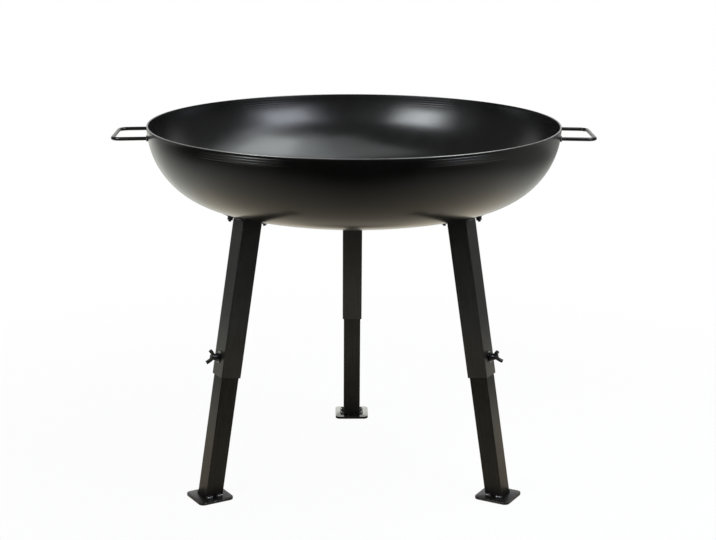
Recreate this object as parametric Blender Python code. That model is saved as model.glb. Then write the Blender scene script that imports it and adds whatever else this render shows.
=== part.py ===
"""Steel fire bowl on three telescopic legs.

A spun bowl stands on three leaning legs of square tube. Each leg hangs from a strap that two coach bolts
hold against the bowl's underside. A smaller tube with a foot plate slides in each leg, and a wing bolt
in a nut on the leg's outward face clamps it. Two bent rods are the handles.

Metres, +Z up. The origin is on the floor, on the bowl's axis, and -Y is the front. Run it in Blender.
"""

import math

import bmesh
import bpy
from mathutils import Matrix, Vector

# Bowl: a torispherical dish, a crown with a tighter knuckle under a plain sheet edge
RIM_RADIUS = 0.390
RIM_HEIGHT = 0.692
SHEET = 0.003
KNUCKLE_RADIUS = 0.150
CROWN_RADIUS = 1.050

# Handles: round rod, bent twice and welded to the wall at both ends
ROD_RADIUS = 0.0035
HANDLE_SPREAD = 0.120
HANDLE_REACH = 0.062
HANDLE_BEND = 0.016
HANDLE_DROP = 0.021
HANDLE_DROOP = math.radians(1)

# Legs: where they stand, how they lean, and their square tubes
LEG_ANGLES = {"rear": 90, "left": 210, "right": 330}
FOOT_INSET = 0.074
LEG_LEAN = math.radians(9.5)
UPPER_TUBE = 0.040
UPPER_WALL = 0.002
LOWER_TUBE = 0.035
LOWER_WALL = 0.002
TUBE_CORNER = 0.0015
TUBE_INNER_CORNER = 0.0005
UPPER_END_HEIGHT = 0.235
LOWER_LENGTH = 0.400

# Foot plates, welded under the lower tubes
PLATE_SIDE = 0.070
PLATE_THICKNESS = 0.005
PLATE_CORNER = 0.010

# Straps between the legs and the bowl
STRAP_LENGTH = 0.092
STRAP_WIDTH = 0.025
STRAP_THICKNESS = 0.003
BOLT_SPACING = 0.072

# Coach bolts, washers and nuts that hold the straps
BOLT_RADIUS = 0.003
BOLT_HEAD_RADIUS = 0.008
BOLT_HEAD_HEIGHT = 0.0034
BOLT_DOME = math.radians(72)
BOLT_NECK = 0.004
BOLT_END = 0.003
BOLT_POINT = 0.0006
WASHER_RADIUS = 0.0062
WASHER_THICKNESS = 0.0016
NUT_FLATS = 0.010
NUT_HEIGHT = 0.005
NUT_CHAMFER = 0.001

# Clamp: a nut welded over a hole in the upper tube, and its wing bolt
CLAMP_HEIGHT = 0.036
CLAMP_RADIUS = 0.004
CLAMP_POINT = 0.001
CLAMP_NUT_FLATS = 0.013
CLAMP_NUT_HEIGHT = 0.0065
CLAMP_NUT_CHAMFER = 0.0013
HUB_STANDOFF = 0.0012
HUB_RADIUS = 0.0065
HUB_TOP_RADIUS = 0.0055
HUB_LENGTH = 0.010
HUB_BEVEL = 0.0006
WING_SPAN = 0.032
WING_HEIGHT = 0.0176
EAR_ROOT = 0.0055
EAR_LEAN = math.radians(27)
EAR_WIDTH = 0.006
EAR_THICKNESS = 0.0032
WING_TURNS = {"rear": math.radians(15), "left": math.radians(-20), "right": math.radians(35)}

# Clearances: between faces that touch, of a thread in its nut, and of a bolt in its hole
SEAT_GAP = 0.0003
THREAD_GAP = 0.00025
HOLE_GAP = 0.0005

# Facets
BOWL_STEPS = 72
KNUCKLE_STEPS = 8
CROWN_STEPS = 10
ROD_SIDES = 12
BEND_STEPS = 8
CORNER_STEPS = 4
STRAP_STEPS = 8
ROUND_STEPS = 16
HEX_STEPS = 12
DOME_STEPS = 3
EAR_STEPS = 4

# The circle that the feet stand on, inside the rim
FOOT_CIRCLE_RADIUS = RIM_RADIUS - FOOT_INSET

# Where the bowl's two arcs meet, measured at the crown's centre from straight down
ARC_MEETING = math.asin((RIM_RADIUS - KNUCKLE_RADIUS) / (CROWN_RADIUS - KNUCKLE_RADIUS))
CROWN_CENTRE_HEIGHT = RIM_HEIGHT + (CROWN_RADIUS - KNUCKLE_RADIUS) * math.cos(ARC_MEETING)

# The crown's centre in a leg's own frame, whose +Z runs up the leg and whose +X faces outward
CENTRE_X = CROWN_CENTRE_HEIGHT * math.sin(LEG_LEAN) - FOOT_CIRCLE_RADIUS * math.cos(LEG_LEAN)
CENTRE_Z = CROWN_CENTRE_HEIGHT * math.cos(LEG_LEAN) + FOOT_CIRCLE_RADIUS * math.sin(LEG_LEAN)
SEAT_TILT = math.asin(CENTRE_X / CROWN_RADIUS)

# Depths below the bowl's underside, along a coach bolt
STRAP_BOTTOM = SEAT_GAP + STRAP_THICKNESS
WASHER_BOTTOM = STRAP_BOTTOM + SEAT_GAP + WASHER_THICKNESS
NUT_BOTTOM = WASHER_BOTTOM + SEAT_GAP + NUT_HEIGHT

# Distances from the upper tube's outward face, along a wing bolt
CLAMP_TIP = (LOWER_TUBE - UPPER_TUBE) / 2 + SEAT_GAP
CLAMP_NUT_TOP = SEAT_GAP + CLAMP_NUT_HEIGHT
HUB_BASE = CLAMP_NUT_TOP + HUB_STANDOFF

COLOURS = {
    "bowl": ((0.020, 0.019, 0.018), 0.34, 0.4),
    "handle": ((0.016, 0.016, 0.015), 0.38, 0.4),
    "tube": ((0.024, 0.024, 0.022), 0.42, 0.4),
    "plate": ((0.028, 0.028, 0.027), 0.45, 0.4),
    "fastener": ((0.010, 0.010, 0.010), 0.40, 0.6),
}


def clear_scene():
    for existing in list(bpy.data.objects):
        bpy.data.objects.remove(existing, do_unlink=True)


def painted(name, finish):
    """A black heat-proof paint, one material for each sub-part."""
    colour, roughness, metallic = COLOURS[finish]
    material = bpy.data.materials.new(name)
    material.use_nodes = True
    shader = material.node_tree.nodes["Principled BSDF"]
    shader.inputs["Base Color"].default_value = (*colour, 1)
    shader.inputs["Roughness"].default_value = roughness
    shader.inputs["Metallic"].default_value = metallic
    return material


def place(name, mesh, finish, matrix, parent=None):
    """A sub-part: its own object with its own material, placed in its parent's frame."""
    piece = bpy.data.objects.new(name, mesh)
    bpy.context.scene.collection.objects.link(piece)
    if not mesh.materials:
        mesh.materials.append(None)
    piece.material_slots[0].link = "OBJECT"
    piece.material_slots[0].material = painted(name, finish)
    piece.parent = parent
    piece.matrix_local = matrix
    return piece


def empty(name, matrix, parent=None):
    """A frame that pieces are parented to."""
    frame = bpy.data.objects.new(name, None)
    bpy.context.scene.collection.objects.link(frame)
    frame.parent = parent
    frame.matrix_local = matrix
    return frame


def cutter(name, mesh, matrix, parent=None):
    """A hidden solid that only cuts or joins others."""
    tool = bpy.data.objects.new(name, mesh)
    bpy.context.scene.collection.objects.link(tool)
    tool.parent = parent
    tool.matrix_local = matrix
    tool.hide_render = True
    tool.display_type = "WIRE"
    return tool


def boolean(piece, tool, operation="DIFFERENCE"):
    modifier = piece.modifiers.new(tool.name, "BOOLEAN")
    modifier.object = tool
    modifier.operation = operation
    modifier.solver = "EXACT"


def finished(name, bm, crease=35):
    """The mesh of a closed shape, its faces turned outward, smooth across edges flatter than crease degrees."""
    bmesh.ops.recalc_face_normals(bm, faces=bm.faces)
    mesh = bpy.data.meshes.new(name)
    bm.to_mesh(mesh)
    bm.free()
    mesh.shade_smooth()
    mesh.set_sharp_from_angle(angle=math.radians(crease))
    return mesh


def turned(name, profile, steps):
    """A profile of (radius, height) points, spun about Z. It starts and ends on the axis."""
    bm = bmesh.new()
    points = [bm.verts.new((radius, 0, height)) for radius, height in profile]
    edges = [bm.edges.new(pair) for pair in zip(points, points[1:])]
    bmesh.ops.spin(
        bm,
        geom=points + edges,
        axis=(0, 0, 1),
        cent=(0, 0, 0),
        angle=2 * math.pi,
        steps=steps,
        use_merge=True,
    )
    bmesh.ops.remove_doubles(bm, verts=bm.verts, dist=1e-6)
    return finished(name, bm)


def skinned(name, rings, closed=False):
    """Rings of equally many points, skinned in order. A closed skin joins last to first, an open one is capped."""
    bm = bmesh.new()
    loops = [[bm.verts.new(point) for point in ring] for ring in rings]
    count = len(loops[0])
    pairs = list(zip(loops, loops[1:])) + ([(loops[-1], loops[0])] if closed else [])
    for lower, upper in pairs:
        for i in range(count):
            j = (i + 1) % count
            bm.faces.new((lower[i], lower[j], upper[j], upper[i]))
    if not closed:
        bm.faces.new(loops[0])
        bm.faces.new(loops[-1])
    return finished(name, bm)


def circle(radius, height, steps=ROUND_STEPS):
    turns = [2 * math.pi * i / steps for i in range(steps)]
    return [(radius * math.cos(a), radius * math.sin(a), height) for a in turns]


def square_ring(side, height, steps=ROUND_STEPS):
    """Points round a square, one on each corner, in step with a circle's."""
    points = []
    for x, y, z in circle(side / 2, height, steps):
        reach = side / 2 / max(abs(x), abs(y))
        points.append((x * reach, y * reach, z))
    return points


def hexagon(flats, height, steps=HEX_STEPS):
    """Points round a hexagon, one on each corner, in step with a circle's."""
    points = []
    for i in range(steps):
        turn = 2 * math.pi * i / steps
        from_flat = turn % (math.pi / 3) - math.pi / 6
        reach = flats / 2 / math.cos(from_flat)
        points.append((reach * math.cos(turn), reach * math.sin(turn), height))
    return points


def rounded_rectangle(length, width, corner, steps=CORNER_STEPS):
    """(x, y) points round a rectangle with rounded corners."""
    points = []
    for quarter, (sx, sy) in enumerate(((1, 1), (-1, 1), (-1, -1), (1, -1))):
        for i in range(steps + 1):
            turn = math.pi / 2 * (quarter + i / steps)
            x = sx * (length / 2 - corner) + corner * math.cos(turn)
            y = sy * (width / 2 - corner) + corner * math.sin(turn)
            points.append((x, y))
    return points


def dish_profile(offset):
    """The bowl's section, rim to axis, moved inward from its outer face by offset."""
    knuckle = KNUCKLE_RADIUS - offset
    crown = CROWN_RADIUS - offset
    points = []
    for i in range(KNUCKLE_STEPS + 1):
        turn = math.pi / 2 + (ARC_MEETING - math.pi / 2) * i / KNUCKLE_STEPS
        radius = RIM_RADIUS - KNUCKLE_RADIUS + knuckle * math.sin(turn)
        points.append((radius, RIM_HEIGHT - knuckle * math.cos(turn)))
    for i in range(1, CROWN_STEPS + 1):
        turn = ARC_MEETING * (1 - i / CROWN_STEPS)
        points.append((crown * math.sin(turn), CROWN_CENTRE_HEIGHT - crown * math.cos(turn)))
    return points


def make_bowl(hole_cutters):
    """One sheet, spun to shape, with a punched square hole for each coach bolt."""
    section = dish_profile(SHEET)[::-1] + dish_profile(0)
    bowl = place("bowl", turned("bowl", section, BOWL_STEPS), "bowl", Matrix())
    for tool in hole_cutters:
        boolean(bowl, tool)


def bowl_outline():
    """The bowl filled up and grown by one seat gap. It trims what meets the wall."""
    profile = [(0, RIM_HEIGHT)] + dish_profile(-SEAT_GAP)
    return cutter("bowl_outline", turned("bowl_outline", profile, BOWL_STEPS), Matrix())


def handle_path():
    """The rod's centreline, from inside the wall, out, along the grip and back, in the handle's frame."""
    half = HANDLE_SPREAD / 2
    bend_x = HANDLE_REACH - HANDLE_BEND
    bend_y = half - HANDLE_BEND
    arc = [math.pi / 2 * i / BEND_STEPS for i in range(BEND_STEPS + 1)]
    near = [(bend_x + HANDLE_BEND * math.sin(a), -bend_y - HANDLE_BEND * math.cos(a)) for a in arc]
    far = [(x, -y) for x, y in reversed(near)]
    wall_x = math.sqrt(RIM_RADIUS**2 - half**2) - RIM_RADIUS
    inside = wall_x - HANDLE_BEND
    return [(inside, -half)] + near + far + [(inside, half)]


def rod_mesh():
    path = [Vector((x, y, 0)) for x, y in handle_path()]
    rings = []
    for i, point in enumerate(path):
        before = path[max(i - 1, 0)]
        after = path[min(i + 1, len(path) - 1)]
        along = (after - before).normalized()
        side = Vector((along.y, -along.x, 0))
        ring = []
        for j in range(ROD_SIDES):
            turn = 2 * math.pi * j / ROD_SIDES
            lift = Vector((0, 0, math.sin(turn)))
            ring.append(point + ROD_RADIUS * (math.cos(turn) * side + lift))
        rings.append(ring)
    return skinned("handle", rings)


def make_handles():
    """Two bent rods, coped to the wall and welded on, drooping a little towards the grip."""
    outline = bowl_outline()
    mesh = rod_mesh()
    wall = RIM_RADIUS - KNUCKLE_RADIUS + math.sqrt(KNUCKLE_RADIUS**2 - HANDLE_DROP**2)
    seat = Matrix.Translation((wall, 0, RIM_HEIGHT - HANDLE_DROP))
    for name, turn in (("handle_right", 0), ("handle_left", math.pi)):
        matrix = Matrix.Rotation(turn, 4, "Z") @ seat @ Matrix.Rotation(HANDLE_DROOP, 4, "Y")
        boolean(place(name, mesh, "handle", matrix), outline)


def square_tube(name, width, wall, bottom, top):
    """A hollow square tube along Z. bottom and top are cuts: (height on the axis, rise per metre of x)."""

    def ring(side, radius, cut):
        height, slope = cut
        outline = rounded_rectangle(side, side, radius)
        return [(x, y, height + slope * x) for x, y in outline]

    inner = width - 2 * wall
    rings = [
        ring(width, TUBE_CORNER, bottom),
        ring(width, TUBE_CORNER, top),
        ring(inner, TUBE_INNER_CORNER, top),
        ring(inner, TUBE_INNER_CORNER, bottom),
    ]
    return skinned(name, rings, closed=True)


def level_cut(height):
    """A cut that is level on the standing object, at that height above the floor."""
    return height / math.cos(LEG_LEAN), -math.tan(LEG_LEAN)


def seat_cut():
    """The cut under the strap, square to the bowl where the leg's axis meets it."""
    distance = CROWN_RADIUS + STRAP_BOTTOM + SEAT_GAP
    x = CENTRE_X - distance * math.sin(SEAT_TILT)
    z = CENTRE_Z - distance * math.cos(SEAT_TILT)
    return z + x * math.tan(SEAT_TILT), -math.tan(SEAT_TILT)


def on_crown(along=0.0):
    """A frame on the bowl's underside, +Z into the bowl, that far outward along it from the leg's axis."""
    tilt = SEAT_TILT - along / CROWN_RADIUS
    centre = Matrix.Translation((CENTRE_X, 0, CENTRE_Z))
    return centre @ Matrix.Rotation(tilt, 4, "Y") @ Matrix.Translation((0, 0, -CROWN_RADIUS))


def strap_mesh():
    """A flat bar, pressed to the bowl's curve, a seat gap below the bowl."""
    rings = []
    top = CROWN_RADIUS + SEAT_GAP
    bottom = CROWN_RADIUS + STRAP_BOTTOM
    for i in range(STRAP_STEPS + 1):
        turn = STRAP_LENGTH * (i / STRAP_STEPS - 0.5) / CROWN_RADIUS
        ring = []
        for distance, side in ((top, -1), (top, 1), (bottom, 1), (bottom, -1)):
            x = distance * math.sin(turn)
            z = CROWN_RADIUS - distance * math.cos(turn)
            ring.append((x, side * STRAP_WIDTH / 2, z))
        rings.append(ring)
    return skinned("strap", rings)


def coach_bolt_mesh():
    """Domed head inside the bowl, square neck in the punched hole, plain shank down through the nut."""
    seat = SHEET + SEAT_GAP
    rings = [
        circle(BOLT_RADIUS - BOLT_POINT, -NUT_BOTTOM - BOLT_END),
        circle(BOLT_RADIUS, -NUT_BOTTOM - BOLT_END + BOLT_POINT),
        circle(BOLT_RADIUS, seat - BOLT_NECK),
        square_ring(2 * BOLT_RADIUS, seat - BOLT_NECK),
        square_ring(2 * BOLT_RADIUS, seat),
    ]
    for i in range(DOME_STEPS + 1):
        turn = BOLT_DOME * i / DOME_STEPS
        rings.append(circle(BOLT_HEAD_RADIUS * math.cos(turn), seat + BOLT_HEAD_HEIGHT * math.sin(turn)))
    return skinned("coach_bolt", rings)


def washer_mesh():
    hole = BOLT_RADIUS + HOLE_GAP
    rings = [
        circle(WASHER_RADIUS, -WASHER_BOTTOM),
        circle(WASHER_RADIUS, -WASHER_BOTTOM + WASHER_THICKNESS),
        circle(hole, -WASHER_BOTTOM + WASHER_THICKNESS),
        circle(hole, -WASHER_BOTTOM),
    ]
    return skinned("washer", rings, closed=True)


def nut_mesh(name, flats, height, chamfer, thread_radius, bottom):
    """A hexagon nut with chamfered corners and a plain bore for the thread."""
    bore_radius = (thread_radius + THREAD_GAP) / math.cos(math.pi / HEX_STEPS)
    rings = [
        circle(flats / 2, bottom, HEX_STEPS),
        hexagon(flats, bottom + chamfer),
        hexagon(flats, bottom + height - chamfer),
        circle(flats / 2, bottom + height, HEX_STEPS),
        circle(bore_radius, bottom + height, HEX_STEPS),
        circle(bore_radius, bottom, HEX_STEPS),
    ]
    return skinned(name, rings, closed=True)


def ear_outline():
    """One ear of the wings: a band that leaves the hub, leans outward and ends round, as (lateral, height)."""
    half = EAR_WIDTH / 2
    start = Vector((HUB_TOP_RADIUS - half, HUB_BASE + EAR_ROOT))
    end = Vector((WING_SPAN / 2 - half, HUB_BASE + WING_HEIGHT - half))
    reach = (end - start).length / 2
    middle = start + reach * Vector((math.cos(EAR_LEAN), math.sin(EAR_LEAN)))
    inner = []
    outer = []
    for i in range(EAR_STEPS + 1):
        t = i / EAR_STEPS
        centre = start * (1 - t) ** 2 + middle * 2 * t * (1 - t) + end * t**2
        along = ((middle - start) * (1 - t) + (end - middle) * t).normalized()
        across = Vector((along.y, -along.x)) * half
        outer.append(centre + across)
        inner.append(centre - across)
    tip = []
    for i in range(1, EAR_STEPS):
        turn = math.pi * i / EAR_STEPS
        tip.append(end + across * math.cos(turn) + along * half * math.sin(turn))
    return outer + tip + inner[::-1]


def ear_mesh(side):
    points = ear_outline()
    faces = (-EAR_THICKNESS / 2, EAR_THICKNESS / 2)
    return skinned("ear", [[(side * p.x, y, p.y) for p in points] for y in faces])


def wing_bolt_mesh():
    """Threaded shank, tapered hub and two ears in one piece. Its +Z points outward along the screw."""
    hub_top = HUB_BASE + HUB_LENGTH
    rings = [
        circle(CLAMP_RADIUS - CLAMP_POINT, CLAMP_TIP),
        circle(CLAMP_RADIUS, CLAMP_TIP + CLAMP_POINT),
        circle(CLAMP_RADIUS, HUB_BASE),
        circle(HUB_RADIUS, HUB_BASE),
        circle(HUB_TOP_RADIUS, hub_top - HUB_BEVEL),
        circle(HUB_TOP_RADIUS - HUB_BEVEL, hub_top),
    ]
    body = cutter("wing_bolt_body", skinned("wing_bolt_body", rings), Matrix())
    ears = [cutter("wing_bolt_ear", ear_mesh(side), Matrix()) for side in (-1, 1)]
    for ear in ears:
        boolean(body, ear, "UNION")
    bpy.context.view_layer.update()
    joined = body.evaluated_get(bpy.context.evaluated_depsgraph_get())
    mesh = bpy.data.meshes.new_from_object(joined)
    mesh.name = "wing_bolt"
    for tool in [body, *ears]:
        bpy.data.objects.remove(tool, do_unlink=True)
    return mesh


def plate_mesh():
    outline = rounded_rectangle(PLATE_SIDE, PLATE_SIDE, PLATE_CORNER)
    return skinned("foot_plate", [[(x, y, z) for x, y in outline] for z in (0, PLATE_THICKNESS)])


def leg_meshes():
    """Each leg piece's mesh, in the leg's frame or its own, shared by the three legs."""
    lower_bottom = level_cut(PLATE_THICKNESS + SEAT_GAP)
    lower_top = (lower_bottom[0] + LOWER_LENGTH, 0)
    clamp_hole = CLAMP_RADIUS + HOLE_GAP
    bolt_hole = 2 * (BOLT_RADIUS + HOLE_GAP)
    hole_ends = (-STRAP_BOTTOM - STRAP_THICKNESS, 2 * SHEET)
    return {
        "upper": square_tube("leg_upper", UPPER_TUBE, UPPER_WALL, (upper_end(), 0), seat_cut()),
        "lower": square_tube("leg_lower", LOWER_TUBE, LOWER_WALL, lower_bottom, lower_top),
        "plate": plate_mesh(),
        "strap": strap_mesh(),
        "bolt": coach_bolt_mesh(),
        "washer": washer_mesh(),
        "nut": nut_mesh("nut", NUT_FLATS, NUT_HEIGHT, NUT_CHAMFER, BOLT_RADIUS, -NUT_BOTTOM),
        "clamp_nut": nut_mesh(
            "clamp_nut",
            CLAMP_NUT_FLATS,
            CLAMP_NUT_HEIGHT,
            CLAMP_NUT_CHAMFER,
            CLAMP_RADIUS,
            SEAT_GAP,
        ),
        "wing_bolt": wing_bolt_mesh(),
        "clamp_hole": skinned("clamp_hole", [circle(clamp_hole, z) for z in (-UPPER_TUBE / 4, SEAT_GAP)]),
        "bolt_hole": skinned("bolt_hole", [square_ring(bolt_hole, z) for z in hole_ends]),
    }


def upper_end():
    """How far up the leg its upper tube ends, square to the tube."""
    return UPPER_END_HEIGHT / math.cos(LEG_LEAN)


def make_leg(side, angle, meshes):
    """One leg. Returns its cutters for the bowl's bolt holes."""
    outward = Matrix.Rotation(math.radians(angle), 4, "Z")
    stand = outward @ Matrix.Translation((FOOT_CIRCLE_RADIUS, 0, 0)) @ Matrix.Rotation(-LEG_LEAN, 4, "Y")
    leg = empty(f"leg_{side}", stand)

    extension = empty(f"extension_{side}", Matrix(), leg)
    place(f"leg_lower_{side}", meshes["lower"], "tube", Matrix(), extension)
    level = Matrix.Rotation(LEG_LEAN, 4, "Y")
    place(f"foot_plate_{side}", meshes["plate"], "plate", level, extension)

    on_face = Matrix.Translation((UPPER_TUBE / 2, 0, upper_end() + CLAMP_HEIGHT))
    screw = on_face @ Matrix.Rotation(math.pi / 2, 4, "Y")
    upper = place(f"leg_upper_{side}", meshes["upper"], "tube", Matrix(), leg)
    boolean(upper, cutter(f"clamp_hole_{side}", meshes["clamp_hole"], screw, leg))
    place(f"clamp_nut_{side}", meshes["clamp_nut"], "fastener", screw, leg)
    turned_screw = screw @ Matrix.Rotation(WING_TURNS[side], 4, "Z")
    place(f"wing_bolt_{side}", meshes["wing_bolt"], "fastener", turned_screw, leg)

    strap = place(f"strap_{side}", meshes["strap"], "tube", on_crown(), leg)
    holes = []
    for end, along in (("inner", -BOLT_SPACING / 2), ("outer", BOLT_SPACING / 2)):
        seat = on_crown(along)
        hole = cutter(f"bolt_hole_{side}_{end}", meshes["bolt_hole"], seat, leg)
        boolean(strap, hole)
        holes.append(hole)
        place(f"coach_bolt_{side}_{end}", meshes["bolt"], "fastener", seat, leg)
        place(f"washer_{side}_{end}", meshes["washer"], "fastener", seat, leg)
        place(f"nut_{side}_{end}", meshes["nut"], "fastener", seat, leg)
    return holes


def main():
    clear_scene()
    meshes = leg_meshes()
    holes = []
    for side, angle in LEG_ANGLES.items():
        holes += make_leg(side, angle, meshes)
    make_bowl(holes)
    make_handles()


main()
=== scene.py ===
# %% [markdown]
# # A black steel fire bowl on telescopic legs
# A spun steel dish stands on three leaning legs of square tube. Each leg is two tubes, one inside the other,
# and a wing bolt clamps them. The measured solids of the part are loaded first. This lesson then dresses
# them: it builds each piece again with its small radii, threads and weld beads, and gives it its paint.

# %% Load the measured part
import math
import random

import bmesh
import bpy
from mathutils import Matrix, Vector


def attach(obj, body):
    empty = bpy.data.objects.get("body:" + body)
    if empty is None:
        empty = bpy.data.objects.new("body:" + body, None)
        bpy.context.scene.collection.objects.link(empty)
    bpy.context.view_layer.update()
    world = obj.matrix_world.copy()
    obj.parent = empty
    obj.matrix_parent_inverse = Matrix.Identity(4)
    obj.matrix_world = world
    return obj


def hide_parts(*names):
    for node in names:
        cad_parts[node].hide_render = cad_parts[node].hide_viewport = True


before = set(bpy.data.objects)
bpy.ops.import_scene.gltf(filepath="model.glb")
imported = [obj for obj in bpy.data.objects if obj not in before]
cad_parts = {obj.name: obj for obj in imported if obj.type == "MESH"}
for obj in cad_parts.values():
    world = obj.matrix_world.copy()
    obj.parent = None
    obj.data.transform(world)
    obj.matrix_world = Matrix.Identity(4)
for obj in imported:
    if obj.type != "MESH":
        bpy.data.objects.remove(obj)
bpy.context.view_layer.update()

# %% [markdown]
# ## Sizes
# Everything is in metres. Each step names its own sizes, and they are those of the solids, so that each piece
# lies where its solid is. Small radii are added, because an edge without one catches no light. Joined pieces
# keep the hair of room between them that the solids have.

# %% Units and the hair of room
MM = 0.001
GAP = 0.0003
print("room between joined pieces:", round(GAP / MM, 1), "mm")

# %% [markdown]
# ## The camera
# The photograph was taken from about three metres, half a metre above the rim, with a lens a little over
# twice as long as the sensor is wide. Such a lens keeps the rim's ellipse calm and the legs nearly parallel.
# The place and the angles come from fitting the rim, the tubes and the feet to the picture.

# %% Camera
FOCAL_LENGTH = 80.0          # in millimetres, as the sensor's width is
SENSOR_WIDTH = 36.0
CAMERA_PLACE = (-0.0354, -2.986, 1.159)
CAMERA_TURN, CAMERA_TILT, CAMERA_ROLL = -0.839, 14.184, 0.2      # degrees

camera_data = bpy.data.cameras.new("camera")
camera_data.lens = FOCAL_LENGTH
camera_data.sensor_width = SENSOR_WIDTH
camera = bpy.data.objects.new("camera", camera_data)
bpy.context.scene.collection.objects.link(camera)
camera.matrix_world = (
    Matrix.Translation(CAMERA_PLACE)
    @ Matrix.Rotation(math.radians(CAMERA_TURN), 4, "Z")
    @ Matrix.Rotation(math.radians(90 - CAMERA_TILT), 4, "X")
    @ Matrix.Rotation(math.radians(CAMERA_ROLL), 4, "Z")
)
bpy.context.scene.camera = camera
print("camera at", [round(v, 3) for v in camera.matrix_world.translation])

# %% [markdown]
# ## Two ways to make a skin
# Nearly every piece here is turned, drawn or swept, so its surface is a stack of rings. A loft joins the
# rings of one shape, and a sweep first places the rings along a path.

# %% Loft and sweep
SAME_POINT = 1e-7            # points nearer than this are one


def skin(name, rings, closed=False, crease=32):
    """Rings of equally many points, joined in order; open skins are capped, closed ones meet themselves."""
    bm = bmesh.new()
    loops = [[bm.verts.new(point) for point in ring] for ring in rings]
    count = len(loops[0])
    pairs = list(zip(loops, loops[1:])) + ([(loops[-1], loops[0])] if closed else [])
    for low, high in pairs:
        for i in range(count):
            bm.faces.new((low[i], low[(i + 1) % count], high[(i + 1) % count], high[i]))
    if not closed:
        bm.faces.new(loops[0])
        bm.faces.new(loops[-1])
    bmesh.ops.remove_doubles(bm, verts=bm.verts, dist=SAME_POINT)
    bmesh.ops.recalc_face_normals(bm, faces=bm.faces)
    mesh = bpy.data.meshes.new(name)
    bm.to_mesh(mesh)
    bm.free()
    mesh.shade_smooth()
    mesh.set_sharp_from_angle(angle=math.radians(crease))
    return mesh


def sweep(name, path, section, up, closed=False):
    """section(share of the path) gives (across, up) offsets, carried along the path."""
    points = [Vector(point) for point in path]
    up = Vector(up)
    rings = []
    for i, point in enumerate(points):
        after = points[(i + 1) % len(points)] if closed else points[min(i + 1, len(points) - 1)]
        before = points[i - 1] if closed or i else points[0]
        along = (after - before).normalized()
        across = along.cross(up).normalized()
        lift = across.cross(along)
        rings.append([point + across * a + lift * b for a, b in section(i / (len(points) - 1))])
    return skin(name, rings, closed)


print("points closer than", SAME_POINT, "m are joined")


# %% Outlines
def circle(radius, height=0.0, steps=48):
    turns = [2 * math.pi * i / steps for i in range(steps)]
    return [(radius * math.cos(a), radius * math.sin(a), height) for a in turns]


def rounded_square(length, width, corner, hold=0.0008, steps=6):
    """(x, y) points round a rectangle. A hold point beside each corner keeps the flat sides flat."""
    points = []
    for quarter, (sx, sy) in enumerate(((1, 1), (-1, 1), (-1, -1), (1, -1))):
        centre = Vector((sx * (length / 2 - corner), sy * (width / 2 - corner)))
        turns = [math.pi / 2 * (quarter + i / steps) for i in range(steps + 1)]
        arc = [centre + corner * Vector((math.cos(a), math.sin(a))) for a in turns]
        back = Vector((math.sin(turns[0]), -math.cos(turns[0]))) * hold
        onward = Vector((-math.sin(turns[-1]), math.cos(turns[-1]))) * hold
        points += [arc[0] + back, *arc, arc[-1] + onward]
    return points


print("points in a circle and in a rounded square:", len(circle(1)), len(rounded_square(1, 1, 0.1)))

# %% [markdown]
# ## Putting a piece in its place
# A piece rides on the body that carries it in the real thing, so it moves with that body's joint. The same
# call names the solids that the piece stands for and the finish that it is due, and keeps a list by finish.

# %% Place
ROOT = "bowl_and_upper_legs"
pieces = {}


def place(name, mesh, body, slot, matrix=None, replaces=()):
    """A piece in its place, riding on its body, in the stead of the solids that it replaces."""
    piece = bpy.data.objects.new(name, mesh)
    bpy.context.scene.collection.objects.link(piece)
    piece.matrix_world = matrix or Matrix()
    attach(piece, body)
    if replaces:
        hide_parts(*replaces)
    pieces.setdefault(slot, []).append(piece)
    return piece


# %% [markdown]
# ## The dish
# The real dish is spun: a disc of 3 mm steel turns on a lathe while a roller presses it over a former. That
# leaves a shallow crown, a tighter knuckle and a trimmed edge, whose two corners are then eased with a file.
# A turned profile says just that. The eased corners matter: they carry the picture's bright rim line.

# %% Profile of the dish
RIM_RADIUS = 0.390
RIM_HEIGHT = 0.692
SHEET = 0.003
KNUCKLE_RADIUS = 0.150
CROWN_RADIUS = 1.050
ARC_MEETING = math.asin((RIM_RADIUS - KNUCKLE_RADIUS) / (CROWN_RADIUS - KNUCKLE_RADIUS))
CROWN_CENTRE = RIM_HEIGHT + (CROWN_RADIUS - KNUCKLE_RADIUS) * math.cos(ARC_MEETING)
CROWN_STEPS = 36
KNUCKLE_STEPS = 30


def dish_side(offset):
    """One face of the sheet, axis to rim, as (radius, height)."""
    crown = CROWN_RADIUS - offset
    knuckle = KNUCKLE_RADIUS - offset
    points = []
    for i in range(CROWN_STEPS):
        turn = ARC_MEETING * i / CROWN_STEPS
        points.append((crown * math.sin(turn), CROWN_CENTRE - crown * math.cos(turn)))
    for i in range(KNUCKLE_STEPS + 1):
        turn = ARC_MEETING + (math.pi / 2 - ARC_MEETING) * i / KNUCKLE_STEPS
        radius = RIM_RADIUS - KNUCKLE_RADIUS + knuckle * math.sin(turn)
        points.append((radius, RIM_HEIGHT - knuckle * math.cos(turn)))
    return points


print("the dish is", round((RIM_HEIGHT - CROWN_CENTRE + CROWN_RADIUS) / MM, 1), "mm deep")

# %% Turned dish
EDGE_RADIUS = 0.0008
EDGE_STEPS = 4
DISH_STEPS = 240
SEAM = 1e-6                  # a full turn ends this near to its start


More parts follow.
